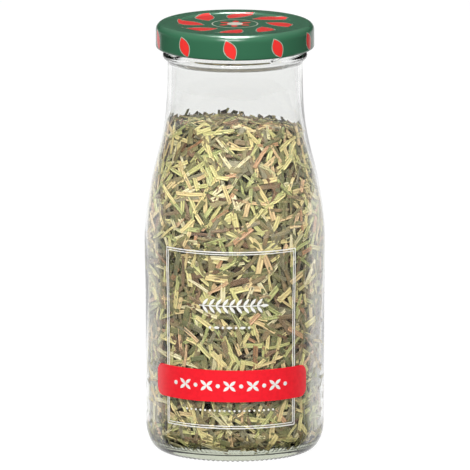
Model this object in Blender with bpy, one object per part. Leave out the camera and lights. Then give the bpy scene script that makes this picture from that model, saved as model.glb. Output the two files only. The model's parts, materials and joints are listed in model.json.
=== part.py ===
"""A glass twist-off jar filled with cut dried rosemary leaves.

Metres, +Z up. The origin is the middle of the jar's foot, on the surface that it stands on, and the
label faces -Y. The turned pieces are profiles spun round Z: the glass with its thread ribs, the sheet
metal cap with its lugs, and the sealing ring. The label is thin curved plates just outside the glass,
and the leaves are one body of packed herb with the outermost cut leaves standing out in relief.
"""

import math
import random

import bmesh
import bpy
from mathutils import Matrix, Vector

MM = 0.001
TURN_STEPS = 40
MERGE = 0.0001
SEAM_GAP = 0.3 * MM

# The glass, outside. Stations are (height, radius), joined by a smooth curve.
BEARING_INNER = 19.6 * MM
BEARING_OUTER = 21.4 * MM
HEEL_HEIGHT = 8.0 * MM
BODY_STATIONS = [
    (8.0, 25.90), (30.0, 26.00), (47.0, 26.10), (58.0, 26.35), (66.0, 26.20), (74.0, 25.25),
    (82.0, 23.80), (90.0, 21.75), (97.0, 20.45), (104.0, 19.85), (113.4, 19.65),
]
BEAD_POINTS = [
    (114.7, 19.75), (115.4, 20.50), (116.0, 20.95), (116.8, 21.00), (117.5, 20.85), (118.2, 20.20),
]
RIM_TOP = 123.9 * MM
RIM_ROUND = 0.8 * MM
FINISH_RADIUS = 20.2 * MM
BORE_RADIUS = 17.2 * MM

# The glass, inside.
PUSH_UP_HEIGHT = 2.2 * MM
FLOOR_MIDDLE = 4.2 * MM
FLOOR_EDGE = 2.6 * MM
FLOOR_RADIUS = 20.0 * MM
INNER_HEEL_TOP = 8.0 * MM
INNER_STATIONS = [
    (8.0, 24.60), (30.0, 25.00), (47.0, 25.10), (58.0, 25.35), (66.0, 25.20), (74.0, 24.15),
    (82.0, 22.60), (90.0, 20.35), (97.0, 18.75), (104.0, 17.80), (113.4, 17.40),
]

# The thread: four ribs that rise to the right, each with a stop that runs down to the bead.
LUG_COUNT = 4
THREAD_LEAD = 3.175 * MM
RIB_START = math.radians(33.0)
RIB_STOP_ARC = math.radians(26.0)
RIB_ARC = math.radians(80.0)
RIB_STOP_Z = 117.4 * MM
RIB_Z = 120.45 * MM
RIB_ROOT_RADIUS = 19.4 * MM
RIB_CREST_RADIUS = 21.3 * MM
RIB_ROOT_HALF = 0.65 * MM
RIB_CREST_HALF = 0.25 * MM
RIB_STEPS = 10

# The cap, from its lower edge.
CAP_RADIUS = 23.0 * MM
CAP_BOTTOM = 118.6 * MM
CAP_HEIGHT = 7.2 * MM
CAP_SHEET = 0.5 * MM
CAP_SHOULDER = 2.0 * MM
CAP_CURL = 0.6 * MM
PANEL_RADIUS = 16.0 * MM
PANEL_SLOPE = 0.7 * MM
PANEL_DEPTH = 0.4 * MM
LUG_INNER_RADIUS = 20.75 * MM
LUG_HEIGHT = 1.1 * MM
LUG_ARC = math.radians(10.0)
LUG_START = RIB_START + RIB_STOP_ARC + math.radians(2.0)

# The sealing ring under the cap's top.
GASKET_INNER = 17.3 * MM
GASKET_OUTER = 20.9 * MM
GASKET_THICK = 0.8 * MM

# The label, as arc angles from -Y and heights.
LABEL_GAP = 0.2 * MM
LABEL_THICK = 0.25 * MM
FRAME_HALF_ARC = math.radians(45.4)
FRAME_LINE = 1.2 * MM
FRAME_LOW = 10.6 * MM
FRAME_HIGH = 63.1 * MM
BANNER_HALF_ARC = math.radians(55.9)
BANNER_LOW = 18.6 * MM
BANNER_HIGH = 28.0 * MM
BANNER_CORNER = 2.6 * MM
LABEL_COLUMNS = 20

# The leaves.
LEAF_SEED = 7
LEAF_LENGTH = (5.0, 9.5)
LEAF_WIDTH = (0.95, 1.35)
LEAF_RIDGE = 0.5 * MM
LEAF_SINK = 0.6 * MM
LEAF_SLANT = 0.35 * MM
CORE_BACK = 1.15 * MM
CORE_SIDES = 20
CORE_BOTTOM = 5.1 * MM
CORE_HEEL_TOP = 9.2 * MM
FILL_EDGE = 96.2 * MM
FILL_MIDDLE = 97.6 * MM
ROW_PITCH = 4.2 * MM
CELL_WIDTH = 7.8 * MM
FLAT_TURN_SHARE = 0.2
TOP_LEAVES = 46
FLOOR_LEAVES = 16
HEEL_LEAVES = 16
HEEL_REACH_SHARE = 0.72

COLOURS = {
    "glass": (0.86, 0.88, 0.86, 0.3),
    "dried leaves": (0.33, 0.32, 0.14, 1.0),
    "green lacquer": (0.034, 0.114, 0.061, 1.0),
    "sealing compound": (0.78, 0.77, 0.72, 1.0),
    "white print": (0.80, 0.78, 0.69, 1.0),
    "red print": (0.95, 0.014, 0.027, 1.0),
}
ROUGHNESS = {
    "glass": 0.03,
    "dried leaves": 0.75,
    "green lacquer": 0.3,
    "sealing compound": 0.5,
    "white print": 0.45,
    "red print": 0.35,
}


def clear_scene():
    for obj in list(bpy.data.objects):
        bpy.data.objects.remove(obj, do_unlink=True)


def material(name):
    made = bpy.data.materials.get(name)
    if made:
        return made
    made = bpy.data.materials.new(name)
    made.use_nodes = True
    shader = made.node_tree.nodes["Principled BSDF"]
    red, green, blue, alpha = COLOURS[name]
    shader.inputs["Base Color"].default_value = (red, green, blue, 1.0)
    shader.inputs["Roughness"].default_value = ROUGHNESS[name]
    shader.inputs["Metallic"].default_value = 0.0
    shader.inputs["Alpha"].default_value = alpha
    made.diffuse_color = COLOURS[name]
    return made


def empty(name, height, parent=None):
    made = bpy.data.objects.new(name, None)
    made.empty_display_size = 0.02
    made.location.z = height
    made.parent = parent
    bpy.context.scene.collection.objects.link(made)
    return made


def mesh_object(name, points, faces, finish, collection=None):
    mesh = bpy.data.meshes.new(name)
    mesh.from_pydata([tuple(p) for p in points], [], faces)
    mesh.materials.append(material(finish))
    made = bpy.data.objects.new(name, mesh)
    (collection or bpy.context.scene.collection).objects.link(made)
    return made


def apply_modifiers(obj):
    """Replaces the object's mesh by what its modifiers make of it."""
    bpy.context.view_layer.update()
    graph = bpy.context.evaluated_depsgraph_get()
    made = bpy.data.meshes.new_from_object(obj.evaluated_get(graph))
    obj.modifiers.clear()
    obj.data = made


def shade_round(obj):
    obj.data.shade_smooth()
    obj.data.set_sharp_from_angle(angle=math.radians(32.0))


def turned(name, profile, finish, closed=False, steps=TURN_STEPS):
    """Spins a profile of (radius, height) round Z. Its outer side runs from the top down."""
    points = [(radius, 0.0, height) for radius, height in profile]
    edges = [(i, i + 1) for i in range(len(points) - 1)]
    if closed:
        edges.append((len(points) - 1, 0))
    mesh = bpy.data.meshes.new(name)
    mesh.from_pydata(points, edges, [])
    mesh.materials.append(material(finish))
    obj = bpy.data.objects.new(name, mesh)
    bpy.context.scene.collection.objects.link(obj)
    screw = obj.modifiers.new("turn", "SCREW")
    screw.steps = steps
    screw.render_steps = steps
    screw.use_merge_vertices = True
    screw.merge_threshold = MERGE
    apply_modifiers(obj)
    return obj


def join_pieces(obj, pieces):
    """Unions the pieces into the object, and removes them."""
    group = bpy.data.collections.new(obj.name + " pieces")
    bpy.context.scene.collection.children.link(group)
    for piece in pieces:
        bpy.context.scene.collection.objects.unlink(piece)
        group.objects.link(piece)
    union = obj.modifiers.new("union", "BOOLEAN")
    union.operation = "UNION"
    union.operand_type = "COLLECTION"
    union.collection = group
    union.solver = "EXACT"
    apply_modifiers(obj)
    for piece in pieces:
        bpy.data.objects.remove(piece, do_unlink=True)
    bpy.data.collections.remove(group)


def radius_at(stations, height):
    """The radius at a height, on a smooth curve through (height, radius) stations in millimetres."""
    z = min(max(height / MM, stations[0][0]), stations[-1][0])
    last = len(stations) - 1

    def slope(i):
        low = stations[max(i - 1, 0)]
        high = stations[min(i + 1, last)]
        return (high[1] - low[1]) / (high[0] - low[0])

    i = max(k for k in range(last) if stations[k][0] <= z)
    (z0, r0), (z1, r1) = stations[i], stations[i + 1]
    span = z1 - z0
    t = (z - z0) / span
    return MM * (
        (2 * t**3 - 3 * t**2 + 1) * r0
        + (t**3 - 2 * t**2 + t) * span * slope(i)
        + (3 * t**2 - 2 * t**3) * r1
        + (t**3 - t**2) * span * slope(i + 1)
    )


def spaced(low, high, count):
    return [low + (high - low) * i / (count - 1) for i in range(count)]


def quarter(centre, reach, rise, start, count):
    """Points (radius, height) on a quarter of an ellipse, from the start angle on, a right angle long."""
    made = []
    for i in range(count + 1):
        angle = start + math.pi / 2 * i / count
        made.append((centre[0] + reach * math.cos(angle), centre[1] + rise * math.sin(angle)))
    return made


def glass_inside():
    """The jar's inner surface, from the middle of the floor up to the bore."""
    inner_heel = quarter(
        (FLOOR_RADIUS, INNER_HEEL_TOP),
        radius_at(INNER_STATIONS, INNER_HEEL_TOP) - FLOOR_RADIUS,
        INNER_HEEL_TOP - FLOOR_EDGE,
        -math.pi / 2,
        4,
    )
    wall = [
        (radius_at(INNER_STATIONS, z), z)
        for z in spaced(INNER_HEEL_TOP, INNER_STATIONS[-1][0] * MM, 12)[1:]
    ]
    return [(0.0, FLOOR_MIDDLE)] + inner_heel + wall + [(BORE_RADIUS, 117.5 * MM)]


def glass_rim():
    """Over the rim, from the bore to the finish."""
    return [
        (BORE_RADIUS, RIM_TOP - RIM_ROUND),
        (BORE_RADIUS + 0.3 * RIM_ROUND, RIM_TOP - 0.3 * RIM_ROUND),
        (BORE_RADIUS + RIM_ROUND, RIM_TOP),
        (FINISH_RADIUS - RIM_ROUND, RIM_TOP),
        (FINISH_RADIUS - 0.3 * RIM_ROUND, RIM_TOP - 0.3 * RIM_ROUND),
        (FINISH_RADIUS, RIM_TOP - RIM_ROUND),
    ]


def glass_outside():
    """Down the outside: the bead, the neck and shoulder, the body, the heel, and the push-up below."""
    bead = [(radius * MM, z * MM) for z, radius in reversed(BEAD_POINTS)]
    body = [
        (radius_at(BODY_STATIONS, z), z)
        for z in reversed(spaced(HEEL_HEIGHT, BODY_STATIONS[-1][0] * MM, 20))
    ]
    heel = quarter(
        (BEARING_OUTER, HEEL_HEIGHT),
        radius_at(BODY_STATIONS, HEEL_HEIGHT) - BEARING_OUTER,
        HEEL_HEIGHT,
        -math.pi / 2,
        5,
    )
    push_up = quarter((0.0, 0.0), BEARING_INNER, PUSH_UP_HEIGHT, 0.0, 5)[:-1]
    return bead + body + list(reversed(heel[:-1])) + push_up + [(0.0, PUSH_UP_HEIGHT)]


def swept(name, stations, section, finish):
    """A closed bar of one section, swept through (angle from -Y, height) stations round Z."""
    points = []
    for angle, height in stations:
        for radius, offset in section:
            points.append(
                (radius * math.sin(angle), -radius * math.cos(angle), height + offset)
            )
    sides = len(section)
    faces = []
    for i in range(len(stations) - 1):
        for j in range(sides):
            k = (j + 1) % sides
            a, b = i * sides, (i + 1) * sides
            faces.append((a + j, b + j, b + k, a + k))
    faces.append(tuple(range(sides)))
    faces.append(tuple(reversed(range(len(points) - sides, len(points)))))
    made = mesh_object(name, points, faces, finish)
    face_outwards(made)
    return made


def face_outwards(obj):
    shape = bmesh.new()
    shape.from_mesh(obj.data)
    bmesh.ops.recalc_face_normals(shape, faces=shape.faces)
    shape.to_mesh(obj.data)
    shape.free()


def thread_rib(number):
    """One rib: a stop that climbs steeply from the bead, then the thread at its lead."""
    section = [
        (RIB_ROOT_RADIUS, -RIB_ROOT_HALF),
        (RIB_CREST_RADIUS, -RIB_CREST_HALF),
        (RIB_CREST_RADIUS, RIB_CREST_HALF),
        (RIB_ROOT_RADIUS, RIB_ROOT_HALF),
    ]
    first = RIB_START + number * math.tau / LUG_COUNT
    stations = []
    for along in spaced(0.0, RIB_ARC, RIB_STEPS):
        if along < RIB_STOP_ARC:
            share = along / RIB_STOP_ARC
            height = RIB_STOP_Z + (RIB_Z - RIB_STOP_Z) * share
        else:
            height = RIB_Z + THREAD_LEAD * (along - RIB_STOP_ARC) / math.tau
        stations.append((first + along, height))
    return swept(f"rib {number}", stations, section, "glass")


def make_jar(root):
    profile = glass_inside() + glass_rim() + glass_outside()
    jar = turned("jar_glass", profile, "glass")
    join_pieces(jar, [thread_rib(i) for i in range(LUG_COUNT)])
    shade_round(jar)
    jar.parent = root


def cap_profile():
    """The cap as bent sheet, heights from its lower edge: the top, the skirt, the curl, the inside."""
    inner_radius = CAP_RADIUS - CAP_SHEET
    shoulder_z = CAP_HEIGHT - CAP_SHOULDER
    outer = [
        (0.0, CAP_HEIGHT - PANEL_DEPTH),
        (PANEL_RADIUS, CAP_HEIGHT - PANEL_DEPTH),
        (PANEL_RADIUS + PANEL_SLOPE, CAP_HEIGHT),
    ]
    outer += reversed(
        quarter((CAP_RADIUS - CAP_SHOULDER, shoulder_z), CAP_SHOULDER, CAP_SHOULDER, 0.0, 5)
    )
    curl = [
        (CAP_RADIUS, CAP_CURL),
        (CAP_RADIUS - 0.3 * CAP_CURL, 0.3 * CAP_CURL),
        (CAP_RADIUS - CAP_CURL, 0.0),
        (CAP_RADIUS - 1.5 * CAP_CURL, 0.2 * CAP_CURL),
        (CAP_RADIUS - 1.8 * CAP_CURL, CAP_CURL),
        (CAP_RADIUS - 1.6 * CAP_CURL, 1.7 * CAP_CURL),
        (inner_radius, 2.3 * CAP_CURL),
    ]
    inner = quarter(
        (CAP_RADIUS - CAP_SHOULDER, shoulder_z),
        CAP_SHOULDER - CAP_SHEET,
        CAP_SHOULDER - CAP_SHEET,
        0.0,
        4,
    )
    inner += [
        (PANEL_RADIUS + PANEL_SLOPE, CAP_HEIGHT - CAP_SHEET),
        (PANEL_RADIUS, CAP_HEIGHT - PANEL_DEPTH - CAP_SHEET),
        (0.0, CAP_HEIGHT - PANEL_DEPTH - CAP_SHEET),
    ]
    return outer + curl + inner


def cap_lug(number):
    """One lug: the curl pressed inwards, under the low end of a rib."""
    first = LUG_START + number * math.tau / LUG_COUNT
    root_radius = CAP_RADIUS - CAP_CURL
    section = [
        (LUG_INNER_RADIUS, 0.25 * LUG_HEIGHT),
        (root_radius, 0.12 * LUG_HEIGHT),
        (root_radius, LUG_HEIGHT),
        (LUG_INNER_RADIUS, 0.95 * LUG_HEIGHT),
    ]
    stations = [(first + along, 0.0) for along in spaced(0.0, LUG_ARC, 3)]
    return swept(f"lug {number}", stations, section, "green lacquer")


def make_cap(lid_turn):
    cap = turned("lid_cap", cap_profile(), "green lacquer")
    join_pieces(cap, [cap_lug(i) for i in range(LUG_COUNT)])
    shade_round(cap)
    cap.parent = lid_turn


def make_gasket(lid_rise):
    """The ring lies between the cap's underside and the rim, a seam's gap from each."""
    top = CAP_HEIGHT - CAP_SHEET - SEAM_GAP
    low = top - GASKET_THICK
    edge = 0.25 * GASKET_THICK
    profile = [
        (GASKET_INNER + edge, top),
        (GASKET_OUTER - edge, top),
        (GASKET_OUTER, top - edge),
        (GASKET_OUTER, low),
        (GASKET_INNER, low),
        (GASKET_INNER, top - edge),
    ]
    gasket = turned("lid_gasket", profile, "sealing compound", closed=True)
    shade_round(gasket)
    gasket.parent = lid_rise


def label_plate(name, columns, rows, keep, place, finish):
    """A thin plate that follows the glass: the kept cells of a grid, closed at every free edge."""
    points = []
    index = {}

    def corner(i, j, outside):
        key = (i, j, outside)
        if key not in index:
            angle, height = place(columns[i], rows[j])
            radius = radius_at(BODY_STATIONS, height) + LABEL_GAP + outside * LABEL_THICK
            index[key] = len(points)
            points.append((radius * math.sin(angle), -radius * math.cos(angle), height))
        return index[key]

    cells = {
        (i, j)
        for i in range(len(columns) - 1)
        for j in range(len(rows) - 1)
        if keep(i, j)
    }
    faces = []
    for i, j in sorted(cells):
        ring = [(i, j), (i + 1, j), (i + 1, j + 1), (i, j + 1)]
        faces.append([corner(a, b, 1) for a, b in ring])
        faces.append([corner(a, b, 0) for a, b in reversed(ring)])
        beyond = [(i, j - 1), (i + 1, j), (i, j + 1), (i - 1, j)]
        for side, neighbour in enumerate(beyond):
            if neighbour not in cells:
                a, b = ring[side], ring[(side + 1) % 4]
                faces.append([corner(*b, 1), corner(*a, 1), corner(*a, 0), corner(*b, 0)])
    made = mesh_object(name, points, faces, finish)
    face_outwards(made)
    shade_round(made)
    return made


def frame_columns():
    line = FRAME_LINE / radius_at(BODY_STATIONS, FRAME_LOW)
    return (
        [-FRAME_HALF_ARC]
        + spaced(line - FRAME_HALF_ARC, FRAME_HALF_ARC - line, LABEL_COLUMNS)
        + [FRAME_HALF_ARC]
    )


def make_frame(root):
    """The printed border, which stops a seam's gap from the banner and goes on below it."""
    columns = frame_columns()
    last = len(columns) - 2
    high_rows = spaced(BANNER_HIGH + SEAM_GAP, FRAME_HIGH - FRAME_LINE, 7) + [FRAME_HIGH]
    low_rows = [FRAME_LOW] + spaced(FRAME_LOW + FRAME_LINE, BANNER_LOW - SEAM_GAP, 3)

    def same(angle, height):
        return angle, height

    upper = label_plate(
        "label_frame_upper", columns, high_rows,
        lambda i, j: i in (0, last) or j == len(high_rows) - 2, same, "white print",
    )
    lower = label_plate(
        "label_frame_lower", columns, low_rows,
        lambda i, j: i in (0, last) or j == 0, same, "white print",
    )
    upper.parent = root
    lower.parent = root


def make_banner(root):
    """The banner: a band with rounded corners across the label's lower part."""
    corner_arc = BANNER_CORNER / radius_at(BODY_STATIONS, BANNER_LOW)
    bends = [corner_arc * (1 - math.cos(math.pi / 2 * i / 4)) for i in range(5)]
    ends = [bend - BANNER_HALF_ARC for bend in bends]
    middle = spaced(ends[-1], -ends[-1], LABEL_COLUMNS)[1:-1]
    columns = ends + middle + [-angle for angle in reversed(ends)]

    def rounded(angle, height):
        into = (abs(angle) - (BANNER_HALF_ARC - corner_arc)) / corner_arc
        if into <= 0.0:
            return angle, height
        drop = BANNER_CORNER * (1 - math.sqrt(max(1 - min(into, 1.0) ** 2, 0.0)))
        return angle, height + (drop if height < (BANNER_LOW + BANNER_HIGH) / 2 else -drop)

    banner = label_plate(
        "label_banner", columns, [BANNER_LOW, BANNER_HIGH],
        lambda i, j: True, rounded, "red print",
    )
    banner.parent = root


def cut_leaf(number, length, width, place):
    """A cut needle leaf: three sides and slanted ends, its ridge along X and standing up in Z."""
    half, side = length / 2, width / 2
    points = [
        (-half, -side, -LEAF_SINK), (-half, side, -LEAF_SINK), (-half + LEAF_SLANT, 0.0, LEAF_RIDGE),
        (half, -side, -LEAF_SINK), (half, side, -LEAF_SINK), (half - LEAF_SLANT, 0.0, LEAF_RIDGE),
    ]
    faces = [(0, 2, 1), (3, 4, 5), (0, 1, 4, 3), (0, 3, 5, 2), (1, 2, 5, 4)]
    return mesh_object(
        f"leaf {number}", [place @ Vector(p) for p in points], faces, "dried leaves"
    )


def resting_on(point, normal, along, turn):
    """The frame of a leaf that lies on a surface: Z is the normal, X is along, turned about it."""
    across = normal.cross(along).normalized()
    base = Matrix((across.cross(normal), across, normal)).transposed().to_4x4()
    return Matrix.Translation(point) @ base @ Matrix.Rotation(turn, 4, "Z")


def core_radius(height):
    return radius_at(INNER_STATIONS, height) - CORE_BACK


def side_place(angle, height, length, turn):
    """A leaf against the wall. A long one lying round the wall sits deeper, so that its ends clear it."""
    reach = 2.0 * MM
    radius = core_radius(height)
    lean = (core_radius(height + reach) - core_radius(height - reach)) / (2 * reach)
    outward = Vector((math.sin(angle), -math.cos(angle), 0.0))
    around = Vector((math.cos(angle), math.sin(angle), 0.0))
    normal = (outward - Vector((0.0, 0.0, lean))).normalized()
    place = resting_on(outward * radius + Vector((0.0, 0.0, height)), normal, around, turn)
    sag = (math.cos(turn) * length / 2) ** 2 / (2 * radius)
    return place @ Matrix.Translation((0.0, 0.0, -0.55 * sag))


def side_leaves(draw):
    """Leaves in rows up the wall, one to a cell, each shifted and turned at random."""
    made = []
    low = CORE_BOTTOM + 2.2 * MM
    rows = int((FILL_EDGE - low) / ROW_PITCH)
    for row in range(rows):
        base = low + (row + 0.5) * ROW_PITCH
        cells = round(math.tau * core_radius(base) / CELL_WIDTH)
        for cell in range(cells):
            angle = math.tau * (cell + 0.5 * (row % 2) + draw.uniform(-0.22, 0.22)) / cells
            height = base + draw.uniform(-0.25, 0.25) * ROW_PITCH
            length = draw.uniform(*LEAF_LENGTH) * MM
            turn = draw.uniform(-math.pi / 2, math.pi / 2)
            if row in (0, rows - 1):
                length = LEAF_LENGTH[0] * MM
                turn *= FLAT_TURN_SHARE
            width = draw.uniform(*LEAF_WIDTH) * MM
            place = side_place(angle, height, length, turn)
            made.append(cut_leaf(len(made), length, width, place))
    return made


def heel_leaves(draw):
    """Short leaves lying round the core's lower edge."""
    made = []
    radius = FLOOR_RADIUS - CORE_BACK + HEEL_REACH_SHARE * (core_radius(CORE_HEEL_TOP) - FLOOR_RADIUS)
    height = CORE_HEEL_TOP - HEEL_REACH_SHARE * (CORE_HEEL_TOP - CORE_BOTTOM)
    for i in range(HEEL_LEAVES):
        angle = math.tau * (i + draw.uniform(-0.2, 0.2)) / HEEL_LEAVES
        outward = Vector((math.sin(angle), -math.cos(angle), 0.0))
        around = Vector((math.cos(angle), math.sin(angle), 0.0))
        normal = (outward - Vector((0.0, 0.0, 1.0))).normalized()
        turn = draw.uniform(-0.5, 0.5)
        place = resting_on(outward * radius + Vector((0.0, 0.0, height)), normal, around, turn)
        width = draw.uniform(*LEAF_WIDTH) * MM
        made.append(cut_leaf(i, LEAF_LENGTH[0] * MM, width, place))
    return made


def disc_leaves(draw, count, reach, height_at, up, tilt):
    """Leaves spread evenly over a round face by the golden angle, lying this way and that."""
    made = []
    golden = math.pi * (3 - math.sqrt(5))
    for i in range(count):
        radius = reach * math.sqrt((i + 0.5) / count)
        angle = golden * i + draw.uniform(-0.2, 0.2)
        point = Vector((radius * math.cos(angle), radius * math.sin(angle), height_at(radius)))
        normal = Vector((draw.uniform(-tilt, tilt), draw.uniform(-tilt, tilt), up)).normalized()
        length = draw.uniform(*LEAF_LENGTH) * MM
        if radius > 0.7 * reach:
            length = LEAF_LENGTH[0] * MM
        width = draw.uniform(*LEAF_WIDTH) * MM
        place = resting_on(point, normal, Vector((1.0, 0.0, 0.0)), draw.uniform(0.0, math.pi))
        made.append(cut_leaf(len(made), length, width, place))
    return made


def fill_height(radius):
    """The top of the herb, a low mound."""
    share = min(radius / core_radius(FILL_EDGE), 1.0)
    return FILL_MIDDLE + (FILL_EDGE - FILL_MIDDLE) * share**2


def make_leaves(root):
    """A core with the jar's inner form, and the outermost leaves fused to it in relief."""
    heel = quarter(
        (FLOOR_RADIUS - CORE_BACK, CORE_HEEL_TOP),
        core_radius(CORE_HEEL_TOP) - FLOOR_RADIUS + CORE_BACK,
        CORE_HEEL_TOP - CORE_BOTTOM,
        -math.pi / 2,
        2,
    )
    wall = [(core_radius(z), z) for z in spaced(CORE_HEEL_TOP, FILL_EDGE, 9)]
    edge = core_radius(FILL_EDGE)
    top = [(share * edge, fill_height(share * edge)) for share in (0.0, 0.55)]
    profile = top + list(reversed(wall)) + list(reversed(heel[:-1])) + [(0.0, CORE_BOTTOM)]
    leaves = turned("rosemary_leaves", profile, "dried leaves", steps=CORE_SIDES)
    draw = random.Random(LEAF_SEED)
    pieces = side_leaves(draw) + heel_leaves(draw)
    pieces += disc_leaves(draw, TOP_LEAVES, 0.86 * edge, fill_height, 1.0, 0.22)
    floor_reach = 0.8 * FLOOR_RADIUS
    pieces += disc_leaves(draw, FLOOR_LEAVES, floor_reach, lambda radius: CORE_BOTTOM, -1.0, 0.02)
    join_pieces(leaves, pieces)
    leaves.parent = root


def main():
    clear_scene()
    jar_root = empty("jar_axis", 0.0)
    lid_rise = empty("lid_rise_axis", CAP_BOTTOM, jar_root)
    lid_turn = empty("lid_turn_axis", 0.0, lid_rise)
    make_jar(jar_root)
    make_leaves(jar_root)
    make_cap(lid_turn)
    make_gasket(lid_rise)
    make_frame(jar_root)
    make_banner(jar_root)


main()
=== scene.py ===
"""Dresses the jar of dried rosemary: its glass, leaves, lid, print and a small white studio."""

import json
import math

import bpy
import numpy as np
from bpy.props import FloatProperty, FloatVectorProperty, IntProperty, PointerProperty
from bpy.types import Operator, Panel, PropertyGroup
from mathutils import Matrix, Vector

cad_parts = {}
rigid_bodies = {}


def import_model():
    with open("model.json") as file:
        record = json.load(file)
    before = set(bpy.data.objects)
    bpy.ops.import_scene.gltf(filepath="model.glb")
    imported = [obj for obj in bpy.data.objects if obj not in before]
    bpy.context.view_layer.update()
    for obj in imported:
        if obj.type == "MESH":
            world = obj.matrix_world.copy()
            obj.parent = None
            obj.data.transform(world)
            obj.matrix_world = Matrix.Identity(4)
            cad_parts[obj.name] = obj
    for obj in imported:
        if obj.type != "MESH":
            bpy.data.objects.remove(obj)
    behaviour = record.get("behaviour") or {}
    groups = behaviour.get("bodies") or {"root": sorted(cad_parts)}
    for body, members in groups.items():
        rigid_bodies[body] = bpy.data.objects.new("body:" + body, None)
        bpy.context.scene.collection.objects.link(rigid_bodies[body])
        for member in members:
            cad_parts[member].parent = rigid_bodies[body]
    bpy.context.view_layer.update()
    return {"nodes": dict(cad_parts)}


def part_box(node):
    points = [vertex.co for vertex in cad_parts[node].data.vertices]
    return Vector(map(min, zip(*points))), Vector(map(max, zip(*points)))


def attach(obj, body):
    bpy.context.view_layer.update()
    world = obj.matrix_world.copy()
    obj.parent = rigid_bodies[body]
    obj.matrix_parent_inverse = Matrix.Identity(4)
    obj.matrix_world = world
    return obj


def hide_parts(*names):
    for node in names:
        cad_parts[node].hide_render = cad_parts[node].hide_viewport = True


bl_info = {
    "name": "Jar of dried rosemary",
    "version": (1, 0, 0),
    "blender": (4, 5, 0),
    "location": "3D View > Sidebar > Herb Jar",
    "description": "Builds the glass, the leaves, the lid and the print of a herb jar",
    "category": "Object",
}

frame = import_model()

MM = 0.001
JAR_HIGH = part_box("jar_glass")[1]
LID_LOW, LID_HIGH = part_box("lid_cap")
BANNER_LOW, BANNER_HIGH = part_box("label_banner")
BORDER_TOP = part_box("label_frame_upper")[1].z
BORDER_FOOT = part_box("label_frame_lower")[0].z

# The glass: (height, radius) stations in millimetres, as the solid has them.
OUTER_STATIONS = [
    (8.0, 25.90), (30.0, 26.00), (47.0, 26.10), (58.0, 26.35), (66.0, 26.20), (74.0, 25.25),
    (82.0, 23.80), (90.0, 21.75), (97.0, 20.45), (104.0, 19.85), (113.4, 19.65),
]
BEAD_STATIONS = [
    (113.4, 19.65), (114.7, 19.75), (115.3, 20.40), (115.8, 20.90), (116.4, 21.00), (116.9, 20.80),
    (117.3, 20.35), (117.9, 20.20),
]
INNER_STATIONS = [
    (8.0, 25.10), (30.0, 25.42), (47.0, 25.52), (58.0, 25.77), (66.0, 25.60), (74.0, 24.62),
    (82.0, 23.14), (90.0, 21.05), (97.0, 19.50), (102.0, 18.30), (106.0, 17.70), (113.4, 17.40),
]
HEEL_TOP = 8.0 * MM
BEARING_OUTER = 21.4 * MM
BEARING_INNER = 19.6 * MM
PUSH_UP = 2.2 * MM
FLOOR_MIDDLE = 4.2 * MM
FLOOR_EDGE = 2.6 * MM
FLOOR_RADIUS = 20.0 * MM
INNER_HEEL_TOP = 8.0 * MM
FINISH_RADIUS = 20.2 * MM
BORE_RADIUS = 17.2 * MM
RIM_ROUND = 0.8 * MM
GLASS_SEGMENTS = 384
GLASS_IOR = 1.5
LEAF_SIDE_MIRROR = 0.25
FOOT_TINT = (0.57, 0.60, 0.48)
FOOT_TINT_LOW = 3.0 * MM
FOOT_TINT_HIGH = 8.0 * MM
KNURL_TOP = 1.1 * MM
KNURL_LIFT = 0.30 * MM
SWELL = 0.07 * MM
SWELL_TOP = 110.0 * MM
FINISH_FOOT = 116.0 * MM
SEAM_FOOT = 3.0 * MM
SEAM_LIFT = 0.02 * MM
SEAM_HALF_WIDTH = 0.35 * MM

# The thread ribs and the lugs.
RIB_COUNT = 4
RIB_START = math.radians(33.0)
RIB_STOP_ARC = math.radians(26.0)
RIB_ARC = math.radians(80.0)
RIB_STOP_Z = 117.4 * MM
RIB_Z = 120.45 * MM
RIB_HEIGHT = 1.1 * MM
THREAD_LEAD = 3.175 * MM
LUG_START = RIB_START + RIB_STOP_ARC + math.radians(2.0)
LUG_ARC = math.radians(10.0)
LUG_PRESS = 1.0 * MM
LID_SEGMENTS = 256

# The fill.
FILL_EDGE = 97.1 * MM
FILL_MIDDLE = 99.3 * MM
FILL_LEAN = 0.055
LEAN_FOOT = 70.0 * MM
GLASS_PRESS = 0.12 * MM
PRESS_SPREAD = 0.15 * MM
HEEL_PRESS = 0.45 * MM
HEEL_PRESS_RISE = (3.2 * MM, 4.6 * MM)
HEEL_PRESS_FALL = (6.0 * MM, 10.0 * MM)
TOP_SPIKE = 0.9 * MM

# The label's arcs, from -Y.
LABEL_RADIUS = 26.0 * MM
BORDER_HALF_ARC = math.radians(45.4)
BANNER_HALF_ARC = math.radians(55.9)
BANNER_CORNER = 2.6 * MM
PRINT_GAP = 0.02 * MM
PRINT_THICK = 0.04 * MM

BLACK = (0.0, 0.0, 0.0, 1.0)
WHITE = (1.0, 1.0, 1.0, 1.0)
DARK = {"Base Color": BLACK, "Specular IOR Level": 0.0}


class GlassSettings(PropertyGroup):
    """What a user may change on the glass."""

    tint: FloatVectorProperty(
        name="Tint", description="Colour of light that the glass lets through", subtype="COLOR",
        size=4, min=0.0, max=1.0, default=(0.93, 0.935, 0.925, 1.0),
    )
    knurls: IntProperty(
        name="Foot knurls", description="Small bars pressed into the bearing ring",
        min=0, default=96,
    )


class LeafSettings(PropertyGroup):
    """What a user may change on the leaves."""

    seed: IntProperty(name="Seed", description="Start of the random draws", default=11)
    density: FloatProperty(
        name="Density", description="Most leaves to a square metre in each layer",
        min=0.0, default=900000.0,
    )
    spacing: FloatProperty(
        name="Spacing", description="Least distance between the middles of two leaves of a layer",
        unit="LENGTH", min=0.0, default=1.60 * MM,
    )


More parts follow.
